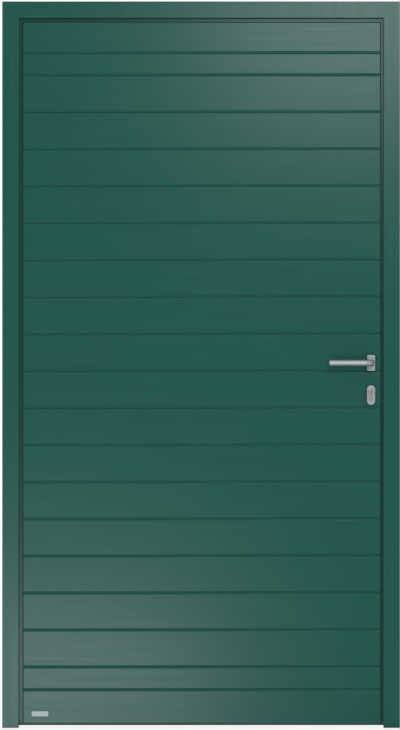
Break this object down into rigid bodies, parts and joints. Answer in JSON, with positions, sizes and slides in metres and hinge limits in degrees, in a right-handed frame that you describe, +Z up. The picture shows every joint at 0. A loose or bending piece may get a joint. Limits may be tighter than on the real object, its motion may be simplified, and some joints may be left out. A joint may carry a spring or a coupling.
{
  "type": "front door with frame",
  "caption": "Painted metal front door leaf with horizontal grooves, hinged in a three-sided mitred frame, with lever handles, mortise lock and profile cylinder.",
  "frame": {"origin": "on the floor line, in the middle of the frame's width and depth", "axes": "+X to the right seen from outside, +Y to the inside, +Z up; the outside faces -Y"},
  "size_m": [1.15, 0.1684, 2.1],
  "materials": {
    "green_paint": "deep green coil coating and powder coat, satin, with a fine horizontal grain on the skin",
    "hinge_paint": "deep green powder coat on cast aluminium, satin",
    "black_rubber": "matt extruded rubber",
    "satin_steel": "satin stainless steel",
    "zinc_steel": "bright zinc plate",
    "nickel_brass": "matt nickel plate",
    "raw_aluminium": "as extruded",
    "black_plastic": "moulded",
    "rigid_foam": "rigid foam"
  },
  "bodies": {
    "frame": {"hinge_jamb": "green_paint", "lock_jamb": "green_paint", "frame_head": "green_paint", "frame_corner_cleats": "raw_aluminium", "hinge_jamb_seal": "black_rubber", "lock_jamb_seal": "black_rubber", "head_seal": "black_rubber", "jamb_foot_plugs": "black_plastic", "strike_plate": "satin_steel", "strike_screws": "zinc_steel", "lower_hinge_frame_wing": "hinge_paint", "middle_hinge_frame_wing": "hinge_paint", "upper_hinge_frame_wing": "hinge_paint", "lower_hinge_pin": "satin_steel", "middle_hinge_pin": "satin_steel", "upper_hinge_pin": "satin_steel", "frame_hinge_screws": "zinc_steel"},
    "leaf": {"outer_skin": "green_paint", "foam_core": "rigid_foam", "inner_skin": "green_paint", "hinge_stile": "green_paint", "lock_stile": "green_paint", "top_rail": "green_paint", "bottom_rail": "green_paint", "leaf_corner_cleats": "raw_aluminium", "hinge_side_bead": "green_paint", "lock_side_bead": "green_paint", "top_bead": "green_paint", "bottom_bead": "green_paint", "leaf_edge_seal": "black_rubber", "bottom_seal_carrier": "raw_aluminium", "bottom_seal": "black_rubber", "lower_hinge_leaf_wing": "hinge_paint", "middle_hinge_leaf_wing": "hinge_paint", "upper_hinge_leaf_wing": "hinge_paint", "hinge_bushes": "black_plastic", "leaf_hinge_screws": "zinc_steel", "lock_case": "zinc_steel", "lock_cover": "zinc_steel", "lock_forend": "satin_steel", "forend_screws": "zinc_steel", "outer_rose": "satin_steel", "inner_rose": "satin_steel", "outer_escutcheon": "satin_steel", "inner_escutcheon": "satin_steel", "furniture_bases": "zinc_steel", "furniture_screws": "zinc_steel", "cylinder_body": "nickel_brass", "cylinder_screw": "zinc_steel"},
    "handle": {"outer_lever": "satin_steel", "inner_lever": "satin_steel", "spindle": "zinc_steel", "follower": "nickel_brass", "lever_grub_screws": "zinc_steel"},
    "latch": {"latch_bolt": "nickel_brass"},
    "deadbolt": {"deadbolt": "nickel_brass"},
    "key_plugs": {"outer_plug": "nickel_brass", "inner_plug": "nickel_brass", "lock_cam": "nickel_brass"}
  },
  "joints": [
    {"name": "leaf_swing", "type": "hinge", "parent": "frame", "child": "leaf", "pos_m": [-0.545, 0.041, 1.045], "axis": [0, 0, 1], "range_deg": [0, 180]},
    {"name": "lever_turn", "type": "hinge", "parent": "leaf", "child": "handle", "pos_m": [0.491, 0.006, 1.055], "axis": [0, -1, 0], "range_deg": [0, 40], "stiffness_Nm_per_rad": 2, "springref_deg": -20.05},
    {"name": "latch_slide", "type": "slide", "parent": "leaf", "child": "latch", "axis": [-1, 0, 0], "range_m": [0, 0.0122]},
    {"name": "key_turn", "type": "hinge", "parent": "leaf", "child": "key_plugs", "pos_m": [0.491, 0.006, 0.97], "axis": [0, 1, 0], "range_deg": [0, 362]},
    {"name": "deadbolt_slide", "type": "slide", "parent": "leaf", "child": "deadbolt", "axis": [1, 0, 0], "range_m": [0, 0.02]}
  ],
  "couplings": [
    {"joint": "latch_slide", "follows": "lever_turn", "m_per_rad": 0.017189},
    {"joint": "key_turn", "follows": "deadbolt_slide", "rad_per_m": 314.16}
  ]
}
